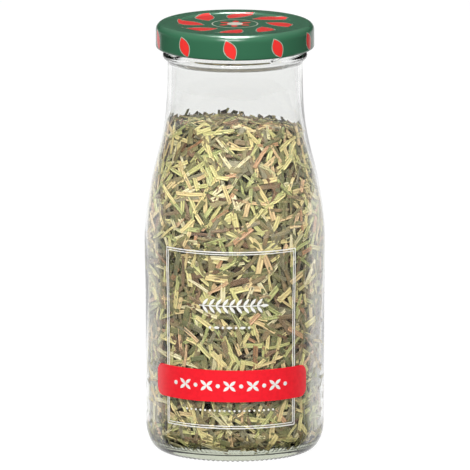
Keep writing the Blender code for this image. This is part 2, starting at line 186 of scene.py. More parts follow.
class LidSettings(PropertyGroup):
    """What a user may change on the lid."""

    lacquer: FloatVectorProperty(
        name="Lacquer", description="Ground colour of the lid", subtype="COLOR",
        size=4, min=0.0, max=1.0, default=(0.034, 0.136, 0.070, 1.0),
    )
    accent: FloatVectorProperty(
        name="Accent", description="Colour of the leaf shapes on the lid", subtype="COLOR",
        size=4, min=0.0, max=1.0, default=(0.84, 0.036, 0.030, 1.0),
    )
    line: FloatVectorProperty(
        name="Line", description="Colour of the thin lines on the lid", subtype="COLOR",
        size=4, min=0.0, max=1.0, default=(0.62, 0.60, 0.50, 1.0),
    )


class PrintSettings(PropertyGroup):
    """What a user may change on the label."""

    white: FloatVectorProperty(
        name="White print", description="Colour of the border and the ornament", subtype="COLOR",
        size=4, min=0.0, max=1.0, default=(0.92, 0.91, 0.87, 1.0),
    )
    banner: FloatVectorProperty(
        name="Banner", description="Colour of the banner", subtype="COLOR",
        size=4, min=0.0, max=1.0, default=(1.0, 0.010, 0.024, 1.0),
    )


class StageSettings(PropertyGroup):
    """What a user may change on the studio."""

    azimuth: FloatProperty(
        name="Azimuth", description="Direction of the view round the jar", subtype="ANGLE",
        default=math.radians(3.55),
    )
    elevation: FloatProperty(
        name="Elevation", description="Angle of the view above the horizon", subtype="ANGLE",
        default=math.radians(11.2),
    )
    distance: FloatProperty(
        name="Distance", description="From the camera to the jar", unit="LENGTH", default=4.0,
    )
    aim_height: FloatProperty(
        name="Aim height", description="Height that the camera looks at", unit="LENGTH",
        default=0.0629,
    )
    floor_glow: FloatProperty(
        name="Floor glow", description="Light that the floor gives by itself", min=0.0, default=0.96,
    )
    key_light: FloatProperty(
        name="Key light", description="Radiance of the softbox over the view", min=0.0, default=17.2,
    )
    card_light: FloatProperty(
        name="Card light", description="Light that the cards add along the sides of the glass", min=0.0,
        default=0.22,
    )
    view_width: FloatProperty(
        name="View width", description="Width that the picture takes in", unit="LENGTH",
        default=0.1368,
    )


def station_radius(stations, height):
    """The radius at a height, or at an array of them, on a smooth curve through the stations."""
    zs = np.array([z for z, _ in stations])
    rs = np.array([r for _, r in stations])
    slopes = np.empty(len(zs))
    slopes[1:-1] = (rs[2:] - rs[:-2]) / (zs[2:] - zs[:-2])
    slopes[0] = (rs[1] - rs[0]) / (zs[1] - zs[0])
    slopes[-1] = (rs[-1] - rs[-2]) / (zs[-1] - zs[-2])
    z = np.clip(np.asarray(height, float) / MM, zs[0], zs[-1])
    i = np.clip(np.searchsorted(zs, z, side="right") - 1, 0, len(zs) - 2)
    span = zs[i + 1] - zs[i]
    t = (z - zs[i]) / span
    return MM * (
        (2 * t**3 - 3 * t**2 + 1) * rs[i]
        + (t**3 - 2 * t**2 + t) * span * slopes[i]
        + (3 * t**2 - 2 * t**3) * rs[i + 1]
        + (t**3 - t**2) * span * slopes[i + 1]
    )


def inner_radius(height):
    """The glass's inner radius at a height, with the heel's curve at the floor."""
    height = np.asarray(height, float)
    wall = station_radius(INNER_STATIONS, height)
    reach = station_radius(INNER_STATIONS, INNER_HEEL_TOP) - FLOOR_RADIUS
    rise = INNER_HEEL_TOP - FLOOR_EDGE
    drop = np.clip((INNER_HEEL_TOP - height) / rise, 0.0, 1.0)
    heel = FLOOR_RADIUS + reach * np.sqrt(1 - drop**2)
    return np.where(height < INNER_HEEL_TOP, heel, wall)


def floor_height(radius):
    share = np.clip(np.asarray(radius, float) / FLOOR_RADIUS, 0.0, 1.0)
    return FLOOR_MIDDLE + (FLOOR_EDGE - FLOOR_MIDDLE) * share**2


def smooth_step(low, high, value):
    t = np.clip((value - low) / (high - low), 0.0, 1.0)
    return t * t * (3 - 2 * t)


def arc(centre, reach, rise, start, end, count):
    """Points (radius, height) along an ellipse, both ends included."""
    angles = np.radians(np.linspace(start, end, count))
    return [(centre[0] + reach * math.cos(a), centre[1] + rise * math.sin(a)) for a in angles]


def round_place(azimuth, distance, height):
    """A place round the jar: azimuth 0 is in front of it, where the label faces."""
    return (distance * math.sin(azimuth), -distance * math.cos(azimuth), height)


def new_object(name, points, faces, smooth=True):
    mesh = bpy.data.meshes.new(name)
    mesh.from_pydata(np.asarray(points).tolist(), [], faces)
    mesh.validate()
    if smooth:
        mesh.shade_smooth()
    made = bpy.data.objects.new(name, mesh)
    bpy.context.scene.collection.objects.link(made)
    return made


def lathe(name, profile, segments, warp=None):
    """Turns (radius, height) points round Z. Ends on the axis close with a fan. Angle 0 is -Y."""
    profile = np.array(profile, float)
    angles = np.linspace(0.0, math.tau, segments, endpoint=False)
    on_axis = profile[:, 0] < 1e-7
    ring_rows = np.flatnonzero(~on_axis)
    radius = np.repeat(profile[ring_rows, 0][:, None], segments, axis=1)
    height = np.repeat(profile[ring_rows, 1][:, None], segments, axis=1)
    if warp:
        radius, height = warp(np.broadcast_to(angles, radius.shape), radius, height, ring_rows)
    points = np.stack([radius * np.sin(angles), -radius * np.cos(angles), height], axis=-1)
    points = points.reshape(-1, 3).tolist()
    faces = []
    rows = len(ring_rows)
    for i in range(rows - 1):
        low, high = i * segments, (i + 1) * segments
        for j in range(segments):
            k = (j + 1) % segments
            faces.append((low + j, high + j, high + k, low + k))
    if on_axis[0]:
        points.append((0.0, 0.0, profile[0, 1]))
        faces += [(len(points) - 1, j, (j + 1) % segments) for j in range(segments)]
    if on_axis[-1]:
        points.append((0.0, 0.0, profile[-1, 1]))
        last = (rows - 1) * segments
        faces += [(len(points) - 1, last + (j + 1) % segments, last + j) for j in range(segments)]
    return new_object(name, points, faces)


def rib_radius(angles, heights):
    """The thread ribs' surface over the finish: a steep stop at the low end, then the thread."""
    along = np.mod(angles - RIB_START, math.tau / RIB_COUNT)
    climb = np.clip(along / RIB_STOP_ARC, 0.0, 1.0)
    middle = RIB_STOP_Z + (RIB_Z - RIB_STOP_Z) * climb
    middle = middle + THREAD_LEAD * np.maximum(along - RIB_STOP_ARC, 0.0) / math.tau
    across = 1 - smooth_step(0.25 * MM, 0.75 * MM, np.abs(heights - middle))
    taper = smooth_step(0.0, 0.06, along) * (1 - smooth_step(RIB_ARC - 0.06, RIB_ARC, along))
    return FINISH_RADIUS + RIB_HEIGHT * across * taper - (across * taper == 0) * MM


def glass_profile():
    """Inside from the floor's middle up, over the rim, down the outside and under the foot."""
    reach = float(inner_radius(INNER_HEEL_TOP)) - FLOOR_RADIUS
    points = [(r, float(floor_height(r))) for r in np.linspace(0.0, FLOOR_RADIUS, 10)[:-1]]
    points += arc(
        (FLOOR_RADIUS, INNER_HEEL_TOP), reach, INNER_HEEL_TOP - FLOOR_EDGE, -90.0, 0.0, 10
    )
    inner = np.linspace(INNER_HEEL_TOP, INNER_STATIONS[-1][0] * MM, 46)[1:]
    points += [(float(inner_radius(z)), z) for z in inner]
    points += [(BORE_RADIUS, 117.0 * MM), (BORE_RADIUS, 120.0 * MM)]
    rim_z = JAR_HIGH.z - RIM_ROUND
    points += arc((BORE_RADIUS + RIM_ROUND, rim_z), RIM_ROUND, RIM_ROUND, 180.0, 90.0, 6)
    points += arc((FINISH_RADIUS - RIM_ROUND, rim_z), RIM_ROUND, RIM_ROUND, 90.0, 0.0, 6)
    finish = np.linspace(rim_z, BEAD_STATIONS[-1][0] * MM, 20)[1:-1]
    points += [(FINISH_RADIUS, z) for z in finish]
    bead = np.linspace(BEAD_STATIONS[-1][0] * MM, BEAD_STATIONS[0][0] * MM, 34)
    points += [(float(station_radius(BEAD_STATIONS, z)), z) for z in bead]
    body = np.linspace(OUTER_STATIONS[-1][0] * MM, HEEL_TOP, 60)[1:-1]
    points += [(float(station_radius(OUTER_STATIONS, z)), z) for z in body]
    heel_reach = float(station_radius(OUTER_STATIONS, HEEL_TOP)) - BEARING_OUTER
    points += arc((BEARING_OUTER, HEEL_TOP), heel_reach, HEEL_TOP, 0.0, -90.0, 22)
    points += [(r, 0.0) for r in np.linspace(BEARING_OUTER, BEARING_INNER, 5)[1:-1]]
    points += arc((0.0, 0.0), BEARING_INNER, PUSH_UP, 0.0, 90.0, 16)
    points[-1] = (0.0, PUSH_UP)
    return points


def make_glass(settings):
    """The glass as one body; its second material is on the inner wall, where the leaves touch it."""
    profile = glass_profile()
    rim_row = max(range(len(profile)), key=lambda i: profile[i][1])

    def warp(angles, radius, height, rows):
        outside = (rows > rim_row)[:, None]
        inside = ~outside & (height > INNER_HEEL_TOP) & (height < SWELL_TOP)
        swell = np.sin(2 * angles + height / (17 * MM)) + 0.6 * np.sin(5 * angles - height / (9 * MM))
        radius = radius + np.where(inside, SWELL * swell, 0.0)
        ribs = outside & (height > FINISH_FOOT) & (height < JAR_HIGH.z - 0.9 * MM)
        radius = np.where(ribs, np.maximum(radius, rib_radius(angles, height)), radius)
        seam = np.exp(-((np.cos(angles) * radius / SEAM_HALF_WIDTH) ** 2))
        body = outside & (height > SEAM_FOOT) & (height < FINISH_FOOT)
        radius = radius + np.where(body, SEAM_LIFT * seam, 0.0)
        radius = np.minimum(radius, JAR_HIGH.x)
        bars = 0.5 + 0.5 * np.cos(settings.knurls * angles)
        foot = outside & (height < KNURL_TOP) & (radius > BEARING_OUTER - 0.5 * MM)
        lift = KNURL_LIFT * bars * (1 - smooth_step(0.0, KNURL_TOP, height))
        return radius, np.where(foot, height + lift, height)

    glass = lathe("glass_body", profile, GLASS_SEGMENTS, warp)
    for polygon in glass.data.polygons:
        inside = polygon.index < (rim_row - 1) * GLASS_SEGMENTS
        polygon.material_index = int(inside and polygon.center.z < FILL_EDGE)
    return glass


# Materials

def node_adder(tree):
    """A helper that adds a node to the tree, sets its values, and fills or links its inputs."""

    def add(kind, inputs=None, **values):
        node = tree.nodes.new(kind)
        for key, value in values.items():
            setattr(node, key, value)
        for key, value in (inputs or {}).items():
            if isinstance(value, Value):
                value = value.socket
            if isinstance(value, bpy.types.NodeSocket):
                tree.links.new(value, node.inputs[key])
            else:
                node.inputs[key].default_value = value
        return node

    return add


class Value:
    """A number in a node tree. Arithmetic on it adds Math nodes."""

    def __init__(self, add, socket):
        self.add = add
        self.socket = socket

    def math(self, operation, *others):
        inputs = dict(enumerate([self, *others]))
        return Value(self.add, self.add("ShaderNodeMath", inputs, operation=operation).outputs[0])

    def __add__(self, other):
        return self.math("ADD", other)

    def __sub__(self, other):
        return self.math("SUBTRACT", other)

    def __rsub__(self, other):
        return self.math("MULTIPLY_ADD", -1.0, other)

    def __mul__(self, other):
        return self.math("MULTIPLY", other)

    def __truediv__(self, other):
        return self.math("DIVIDE", other)

    def __abs__(self):
        return self.math("ABSOLUTE")

    def scaled(self, low, high, to_low=0.0, to_high=1.0):
        """The number carried from one range to another and held within it."""
        ends = {"From Min": low, "From Max": high, "To Min": to_low, "To Max": to_high}
        return Value(self.add, self.add("ShaderNodeMapRange", {"Value": self, **ends}).outputs["Result"])


def new_material(name, inputs=None):
    """A material with only a Principled shader, and helpers that add nodes and link them to it."""
    made = bpy.data.materials.new(name)
    made.use_nodes = True
    tree = made.node_tree
    shader = tree.nodes["Principled BSDF"]
    for key, value in (inputs or {}).items():
        shader.inputs[key].default_value = value

    def link(value, target):
        tree.links.new(value.socket if isinstance(value, Value) else value, shader.inputs[target])

    return made, node_adder(tree), link


def colour_ramp(add, factor, stops):
    """A colour ramp over the stops (place, (r, g, b))."""
    node = add("ShaderNodeValToRGB", {"Fac": factor})
    ramp = node.color_ramp
    while len(ramp.elements) < len(stops):
        ramp.elements.new(0.5)
    for element, (place, colour) in zip(ramp.elements, stops):
        element.position = place
        element.color = (*colour, 1.0)
    return node.outputs["Color"]


def grey_ramp(add, factor, stops):
    """A ramp of greys over the stops (place, level)."""
    return colour_ramp(add, factor, [(place, (level, level, level)) for place, level in stops])


def mix(add, factor, first, second, blend="MIX"):
    """A colour between two, or the second blended over the first."""
    inputs = {"Factor": factor, "A": first, "B": second}
    return add("ShaderNodeMix", inputs, data_type="RGBA", blend_type=blend).outputs["Result"]


def object_noise(add, scale, detail):
    """Noise fixed to the piece."""
    place = add("ShaderNodeTexCoord").outputs["Object"]
    noise = add("ShaderNodeTexNoise", {"Vector": place, "Scale": scale, "Detail": detail})
    return Value(add, noise.outputs["Fac"])


def relief(add, link, height, strength, distance):
    """Fine relief that only the shading shows."""
    bump = add("ShaderNodeBump", {"Height": height, "Strength": strength, "Distance": distance})
    link(bump.outputs["Normal"], "Normal")


def glass_material(settings, name, mirror):
    """Clear glass that lets direct light through to what is in it. The mirror share is 1 for plain glass."""
    made, add, link = new_material(name, {
        "Specular Tint": (mirror, mirror, mirror, 1.0),
        "Roughness": 0.0,
        "IOR": GLASS_IOR,
        "Transmission Weight": 1.0,
    })
    tree = made.node_tree
    place = add("ShaderNodeSeparateXYZ", {"Vector": add("ShaderNodeTexCoord").outputs["Object"]})
    above = Value(add, place.outputs["Z"]).scaled(FOOT_TINT_LOW, FOOT_TINT_HIGH)
    tint = tuple(settings.tint[:3])
    foot = tuple(share * value for share, value in zip(FOOT_TINT, tint))
    link(colour_ramp(add, above, [(0.0, foot), (1.0, tint)]), "Base Color")
    clear = add("ShaderNodeBsdfTransparent", {"Color": (0.95, 0.96, 0.95, 1.0)})
    shadow = add("ShaderNodeLightPath").outputs["Is Shadow Ray"]
    glass = tree.nodes["Principled BSDF"].outputs["BSDF"]
    mixed = add("ShaderNodeMixShader", {0: shadow, 1: glass, 2: clear.outputs["BSDF"]})
    tree.links.new(mixed.outputs["Shader"], tree.nodes["Material Output"].inputs["Surface"])
    return made


# The leaves' tints, from the rarest browns over straw to green and pale: (place, colour).
LEAF_COLOURS = [
    (0.00, (0.174, 0.087, 0.038)),
    (0.04, (0.330, 0.186, 0.098)),
    (0.09, (0.400, 0.262, 0.148)),
    (0.17, (0.436, 0.324, 0.165)),
    (0.32, (0.462, 0.379, 0.173)),
    (0.52, (0.392, 0.358, 0.150)),
    (0.70, (0.306, 0.302, 0.118)),
    (0.82, (0.238, 0.255, 0.100)),
    (0.91, (0.392, 0.349, 0.199)),
    (1.00, (0.523, 0.466, 0.295)),
]
BLOTCH_BROWN = (0.27, 0.17, 0.08)
# Painted shade across a leaf: darker in the furrow on top, darkest at the edge and the underside, where
# contact shadow falls: (place, level).
PAINTED_LEAF_SHADE = [(0.0, 0.66), (0.16, 1.0), (0.62, 1.0), (1.0, 0.32)]


def leaf_material(name, painted_light_level):
    """Each leaf's own tint, painted shade in the furrow, at the edges and on the underside, brown blotches,
    grain along its length, and a painted brightness that lights or shades its whole layer.
    """
    made, add, link = new_material(name, {"Roughness": 0.55, "Specular IOR Level": 0.35})
    tint = Value(add, add("ShaderNodeAttribute", attribute_name="tint").outputs["Fac"])
    split = add("ShaderNodeSeparateXYZ", {"Vector": add("ShaderNodeUVMap", uv_map="leaf").outputs["UV"]})
    along, across = (Value(add, split.outputs[axis]) for axis in "XY")
    place = add("ShaderNodeCombineXYZ", {"X": along, "Y": across, "Z": tint * 37.0}).outputs["Vector"]

    def noise(scale, detail):
        stretched = add("ShaderNodeMapping", {"Vector": place, "Scale": scale}).outputs["Vector"]
        node = add("ShaderNodeTexNoise", {"Vector": stretched, "Scale": 1.0, "Detail": detail})
        return Value(add, node.outputs["Fac"])

    grain = noise((1.6, 22.0, 1.0), 3.0)
    blotch = noise((3.0, 2.0, 1.0), 2.0)
    # Painted shade across the leaf: darker in the furrow, at the edges and on the underside.
    section = grey_ramp(add, abs(across - 0.25) * 4.0, PAINTED_LEAF_SHADE)
    # The layer's painted light brightens the outer and top leaves and darkens the deeper ones as painted
    # shade; the brown blotches get it too.
    light = grain.scaled(0.3, 0.7, 0.74, 1.20) * section * painted_light_level
    coloured = mix(add, 1.0, colour_ramp(add, tint, LEAF_COLOURS), light, "MULTIPLY")
    brown = (*(part * painted_light_level for part in BLOTCH_BROWN), 1.0)
    link(mix(add, blotch.scaled(0.56, 0.72, 0.0, 0.45), coloured, brown), "Base Color")
    relief(add, link, grain, 0.5, 0.1 * MM)
    return made


# Leaves

LEAF_TOP = [(-0.50, 0.0), (-0.34, 0.25), (0.0, 0.05), (0.34, 0.25), (0.50, 0.0)]
LEAF_FOOT = [(0.34, -0.15), (-0.34, -0.15)]
AROUND = 8

# Name, length and width in millimetres, thickness share, bend, twist in degrees, width at both ends.
LEAF_FORMS = [
    ("cut", 6.2, 1.45, 0.60, 0.01, 3.0, (0.98, 0.97)),
    ("curved", 7.2, 1.30, 0.66, 0.04, 8.0, (0.95, 0.60)),
    ("long", 8.4, 1.20, 0.70, -0.02, -8.0, (0.92, 0.80)),
    ("broad", 5.2, 1.80, 0.48, 0.0, 2.0, (0.99, 0.96)),
    ("rolled", 6.6, 1.00, 0.85, 0.03, 12.0, (0.95, 0.85)),
    ("short", 4.0, 1.45, 0.58, 0.0, -3.0, (0.98, 0.99)),
    ("tip", 5.8, 1.35, 0.58, 0.04, 6.0, (0.97, 0.15)),
]
LEAF_SCALE = (0.8, 1.12)
LEAF_FLOW = 130.0
LEAF_TURN = 6.0 * math.pi


def leaf_form(name, length, width, thick, bend, twist, ends, stations=3, flip=False):
    """One dried leaf along X: rolled edges, a furrow on top, cut or tapered ends, and its UV map."""
    section = LEAF_TOP + LEAF_FOOT
    if flip:
        section = [(-y, -z) for y, z in section]
    points = []
    for i in range(stations):
        t = i / (stations - 1)
        share = ends[0] + (1 - ends[0]) * smooth_step(0.0, 0.35, t)
        share *= 1 - (1 - ends[1]) * smooth_step(0.6, 1.0, t)
        angle = math.radians(twist) * (t - 0.5)
        side = bend * length * (1 - (2 * t - 1) ** 2)
        for y, z in section:
            y, z = y * width * share, z * width * thick * share
            turned = (y * math.cos(angle) - z * math.sin(angle), y * math.sin(angle) + z * math.cos(angle))
            slant = 0.25 * width * (y / width) * (1 if i else -1) * (i in (0, stations - 1))
            points.append(((t - 0.5) * length + slant, turned[0] + side, turned[1]))
    count = len(section)
    faces = []
    for i in range(stations - 1):
        for j in range(count):
            k = (j + 1) % count
            a, b = i * count, (i + 1) * count
            faces.append((a + j, a + k, b + k, b + j))
    faces.append(tuple(reversed(range(count))))
    faces.append(tuple(range((stations - 1) * count, stations * count)))
    made = new_object(name, np.array(points) * MM, [face[::-1] for face in faces], smooth=False)
    layer = made.data.uv_layers.new(name="leaf")
    for polygon in made.data.polygons:
        cap = polygon.vertices[0] // count == polygon.vertices[2] // count and len(polygon.vertices) > 4
        for corner in polygon.loop_indices:
            index = made.data.loops[corner].vertex_index
            i, j = divmod(index, count)
            wraps = any(made.data.loops[c].vertex_index % count == count - 1 for c in polygon.loop_indices)
            across = count if j == 0 and wraps and not cap else j
            layer.data[corner].uv = (i / (stations - 1), across / AROUND)
    return made


def leaf_collection(name):
    """The leaf forms, each lying either way up, as the group that the leaves are picked from."""
    group = bpy.data.collections.new(name)
    bpy.context.scene.collection.children.link(group)
    for form in LEAF_FORMS:
        for flip in (False, True):
            made = leaf_form(f"{form[0]}_{int(flip)}", *form[1:], flip=flip)
            bpy.context.scene.collection.objects.unlink(made)
            group.objects.link(made)
    return group


def leaf_tree():
    """Geometry nodes: points on a surface, a random leaf on each, turned and tilted, made real."""
    tree = bpy.data.node_groups.new("scatter leaves", "GeometryNodeTree")
    sockets = {
        "Geometry": ["Surface"], "Collection": ["Leaves"], "Material": ["Finish"], "Int": ["Seed"],
        "Float": ["Density", "Spacing", "Depth", "Tilt", "Roll", "Smallest", "Largest", "Flow"],
    }
    for kind, names in sockets.items():
        for name in names:
            tree.interface.new_socket(name, in_out="INPUT", socket_type=f"NodeSocket{kind}")
    tree.interface.new_socket("Leaves", in_out="OUTPUT", socket_type="NodeSocketGeometry")
    add = node_adder(tree)
    given = add("NodeGroupInput").outputs

    def drawn(low, high, offset, kind="FLOAT"):
        """A random number for each point, with its own seed."""
        seed = add("FunctionNodeIntegerMath", {0: given["Seed"], 1: offset}, operation="ADD").outputs[0]
        first, out = {"FLOAT": (2, 1), "INT": (4, 2)}[kind]
        inputs = {first: low, first + 1: high, "Seed": seed}
        return add("FunctionNodeRandomValue", inputs, data_type=kind).outputs[out]

    def negative(name):
        return Value(add, given[name]) * -1.0

    spread = add("GeometryNodeDistributePointsOnFaces", {
        "Mesh": given["Surface"], "Distance Min": given["Spacing"], "Density Max": given["Density"],
        "Seed": given["Seed"],
    }, distribute_method="POISSON").outputs
    depth = drawn(negative("Depth"), 0.0, 7)
    sink = add("ShaderNodeVectorMath", {0: spread["Normal"], "Scale": depth}, operation="SCALE")
    sunk = add("GeometryNodeSetPosition", {"Geometry": spread["Points"], "Offset": sink.outputs["Vector"]})
    place = add("GeometryNodeInputPosition").outputs["Position"]
    flow = add("ShaderNodeTexNoise", {"Vector": place, "Scale": given["Flow"], "Detail": 0.0})
    heading = Value(add, flow.outputs["Fac"]).math("MULTIPLY_ADD", LEAF_TURN, drawn(-0.9, 0.9, 3))
    turn = add("ShaderNodeCombineXYZ", {
        "X": drawn(negative("Roll"), given["Roll"], 1),
        "Y": drawn(negative("Tilt"), given["Tilt"], 2),
        "Z": heading,
    })
    turn = add("FunctionNodeEulerToRotation", {"Euler": turn.outputs["Vector"]})
    turned = add("FunctionNodeRotateRotation", {
        "Rotation": spread["Rotation"], "Rotate By": turn.outputs["Rotation"],
    }, rotation_space="LOCAL")
    group = add("GeometryNodeCollectionInfo", {
        "Collection": given["Leaves"], "Separate Children": True, "Reset Children": True,
    })
    placed = add("GeometryNodeInstanceOnPoints", {
        "Points": sunk.outputs["Geometry"],
        "Instance": group.outputs["Instances"],
        "Pick Instance": True,
        "Instance Index": drawn(0, 2 * len(LEAF_FORMS) - 1, 4, "INT"),
        "Rotation": turned.outputs["Rotation"],
        "Scale": drawn(given["Smallest"], given["Largest"], 5),
    })
    tinted = add("GeometryNodeStoreNamedAttribute", {
        "Geometry": placed.outputs["Instances"], "Name": "tint", "Value": drawn(0.0, 1.0, 6),
    }, data_type="FLOAT", domain="INSTANCE")
    real = add("GeometryNodeRealizeInstances", {"Geometry": tinted.outputs["Geometry"]})
    finished = add("GeometryNodeSetMaterial", {
        "Geometry": real.outputs["Geometry"], "Material": given["Finish"],
    })
    add("NodeGroupOutput", {"Leaves": finished.outputs["Geometry"]})
    return tree


def scatter(surface, name, tree, **inputs):
    """Runs the leaf nodes on a surface and returns the leaves as one plain mesh object."""
    modifier = surface.modifiers.new("leaves", "NODES")
    modifier.node_group = tree
    sockets = {item.name: item.identifier for item in tree.interface.items_tree if item.in_out == "INPUT"}
    for key, value in inputs.items():
        modifier[sockets[key]] = value
    graph = bpy.context.evaluated_depsgraph_get()
    mesh = bpy.data.meshes.new_from_object(surface.evaluated_get(graph), depsgraph=graph)
    bpy.data.objects.remove(surface)
    mesh.name = name
    made = bpy.data.objects.new(name, mesh)
    bpy.context.scene.collection.objects.link(made)
    return made


def keep_in_glass(obj):
    """Presses every leaf against the glass, each a little less or more, as the wall does to real ones."""
    mesh = obj.data
    points = np.empty(len(mesh.vertices) * 3, np.float32)
    mesh.vertices.foreach_get("co", points)
    points = points.reshape(-1, 3).astype(float)
    tint = np.empty(len(mesh.vertices), np.float32)
    mesh.attributes["tint"].data.foreach_get("value", tint)
    gap = PRESS_SPREAD * np.mod(tint.astype(float) * 97.0, 1.0) - GLASS_PRESS
    radius = np.hypot(points[:, 0], points[:, 1])
    heel = HEEL_PRESS * (1 - smooth_step(*HEEL_PRESS_FALL, points[:, 2]))
    heel *= smooth_step(*HEEL_PRESS_RISE, points[:, 2])
    heel *= smooth_step(0.8 * FLOOR_RADIUS, FLOOR_RADIUS, radius)
    points[:, :2] *= (1 + heel / np.maximum(radius, 1e-9))[:, None]
    radius += heel
    points[:, 2] = np.maximum(points[:, 2], floor_height(radius) + np.maximum(gap, 0.02 * MM))
    most = inner_radius(points[:, 2]) - gap + heel
    share = np.minimum(1.0, most / np.maximum(radius, 1e-9))
    points[:, :2] *= share[:, None]
    dome = 1 - (np.minimum(radius, most) / inner_radius(FILL_EDGE)) ** 2
    top = FILL_EDGE + (FILL_MIDDLE - FILL_EDGE) * dome - FILL_LEAN * points[:, 0] + TOP_SPIKE
    points[:, 2] = np.where(points[:, 2] > top, top + 0.4 * (points[:, 2] - top), points[:, 2])
    mesh.vertices.foreach_set("co", points.astype(np.float32).ravel())
    mesh.update()


def lean_top(angles, radius, height, rows):
    """Lifts the fill's top on one side and lowers it on the other, as it settled in the jar."""
    share = smooth_step(LEAN_FOOT, FILL_EDGE, height)
    return radius, height - FILL_LEAN * radius * np.sin(angles) * share


def fill_surface(name, depth, top=False):
    """The fill's outer form, some way in from the glass, from the top's middle down to the floor's."""
    edge = float(inner_radius(FILL_EDGE)) - depth
    points = []
    if top:
        for share in np.linspace(0.0, 1.0, 8)[:-1]:
            points.append((edge * share, FILL_MIDDLE - depth + (FILL_EDGE - FILL_MIDDLE) * share**2))
    heights = np.linspace(FILL_EDGE - depth, INNER_HEEL_TOP, 40)
    points += [(float(inner_radius(z)) - depth, z) for z in heights]
    reach = float(inner_radius(INNER_HEEL_TOP)) - FLOOR_RADIUS
    rise = INNER_HEEL_TOP - FLOOR_EDGE - depth
    points += arc((FLOOR_RADIUS - depth, INNER_HEEL_TOP), reach, rise, 0.0, -90.0, 8)[1:]
    points.append((0.0, FLOOR_MIDDLE + depth))
    return lathe(name, points, 72, lean_top)


def top_surface(name, depth):
    edge = float(inner_radius(FILL_EDGE)) - 0.8 * MM
    points = [
        (edge * share, FILL_MIDDLE - depth + (FILL_EDGE - FILL_MIDDLE) * share**2)
        for share in np.linspace(0.0, 1.0, 8)
    ]
    return lathe(name, points, 48, lean_top)


# Label and lid patterns

def label_point(arc_length, height, lift):
    """A point of the label: arc length from its middle, height, and how far off the glass."""
    radius = float(station_radius(OUTER_STATIONS, height)) + lift
    return round_place(arc_length / LABEL_RADIUS, radius, height)


def printed(name, strips, lift=PRINT_GAP, thick=PRINT_THICK):
    """Thin closed plates on the glass, each strip a list of (low, high) pairs of (arc, height)."""
    points, faces = [], []
    for strip in strips:
        start = len(points)
        for low, high in strip:
            for level in (lift + thick, lift):
                points.append(label_point(*low, level))
                points.append(label_point(*high, level))
        count = len(strip)
        for i in range(count - 1):
            a, b = start + 4 * i, start + 4 * (i + 1)
            for p, q in ((0, 1), (3, 2), (2, 0), (1, 3)):
                faces.append((a + p, b + p, b + q, a + q))
        faces.append((start, start + 1, start + 3, start + 2))
        end = start + 4 * (count - 1)
        faces.append((end + 2, end + 3, end + 1, end))
    return new_object(name, points, faces, smooth=False)


def bar(s0, z0, s1, z1, width, count=24):
    """A straight printed line from one point to another, closed at both ends."""
    along = Vector((s1 - s0, z1 - z0)).normalized()
    side = Vector((-along.y, along.x)) * width / 2
    strip = []
    for t in np.linspace(0.0, 1.0, count):
        s, z = s0 + (s1 - s0) * t, z0 + (z1 - z0) * t
        strip.append(((s - side.x, z - side.y), (s + side.x, z + side.y)))
    return strip


def petal(s, z, length, width, angle, count=9):
    """A leaf shape pointed at both ends, from its foot at (s, z)."""
    along = Vector((math.cos(angle), math.sin(angle)))
    side = Vector((-along.y, along.x))
    strip = []
    for t in np.linspace(0.0, 1.0, count):
        half = 0.5 * width * max(math.sin(math.pi * t) ** 0.8, 0.04)
        middle = Vector((s, z)) + along * length * t
        low, high = middle - side * half, middle + side * half
        strip.append((tuple(low), tuple(high)))
    return strip


def dot(s, z, radius, count=9):
    strip = []
    for t in np.linspace(0.0, math.pi, count):
        half = radius * max(math.sin(t), 0.05)
        across = s - radius * math.cos(t)
        strip.append(((across, z - half), (across, z + half)))
    return strip


def border_strips(low, high, closed_end):
    """Two thin lines round three sides of the label, open towards the banner."""
    strips = []
    for inset, width in ((0.20 * MM, 0.32 * MM), (0.86 * MM, 0.24 * MM)):
        reach = LABEL_RADIUS * BORDER_HALF_ARC - inset
        end = high - inset if closed_end == "top" else low + inset
        other = low if closed_end == "top" else high
        strips.append(bar(-reach, end, reach, end, width, 60))
        for side in (-1, 1):
            strips.append(bar(side * reach, other, side * reach, end, width))
    return strips


def banner_strip():
    """The banner's columns, drawn in at its rounded corners."""
    low, high = BANNER_LOW.z, BANNER_HIGH.z
    half = LABEL_RADIUS * BANNER_HALF_ARC
    places = list(half - BANNER_CORNER * (1 - np.cos(np.linspace(0, math.pi / 2, 9))))
    straight = np.linspace(-half + BANNER_CORNER, half - BANNER_CORNER, 50)
    columns = sorted({round(p, 7) for p in [*places, *(-p for p in places), *straight]})
    strip = []
    for s in columns:
        into = max(abs(s) - (half - BANNER_CORNER), 0.0) / BANNER_CORNER
        drop = BANNER_CORNER * (1 - math.sqrt(max(1 - into**2, 0.0)))
        strip.append(((s, low + drop), (s, high - drop)))
    return strip


SPRIG_HALF = 9.0 * MM
SPRIG_Z = 47.0 * MM
ROW_Z = 40.6 * MM
ROW_STEP = 1.9
DOTS_Z = 16.0 * MM
DOTS_STEP = 1.45


def sprig_strips():
    """A plain sprig lying across the label, with a row of small leaves and dots under it."""
    strips = [bar(-SPRIG_HALF, SPRIG_Z, SPRIG_HALF, SPRIG_Z, 0.3 * MM)]
    for i in range(9):
        s = (-8.0 + 2.0 * i) * MM
        for up in (1, -1):
            strips.append(petal(s, SPRIG_Z, 2.7 * MM, 0.85 * MM, up * math.radians(52.0)))
    strips.append(petal(SPRIG_HALF, SPRIG_Z, 2.6 * MM, 0.9 * MM, 0.0))
    for i in range(-3, 4):
        if i % 2:
            strips.append(dot(i * ROW_STEP * MM, ROW_Z, 0.38 * MM))
        else:
            strips.append(petal((i * ROW_STEP - 0.9) * MM, ROW_Z, 1.8 * MM, 0.8 * MM, 0.0))
    for i in range(-9, 10):
        strips.append(dot(i * DOTS_STEP * MM, DOTS_Z, 0.30 * MM))
    return strips


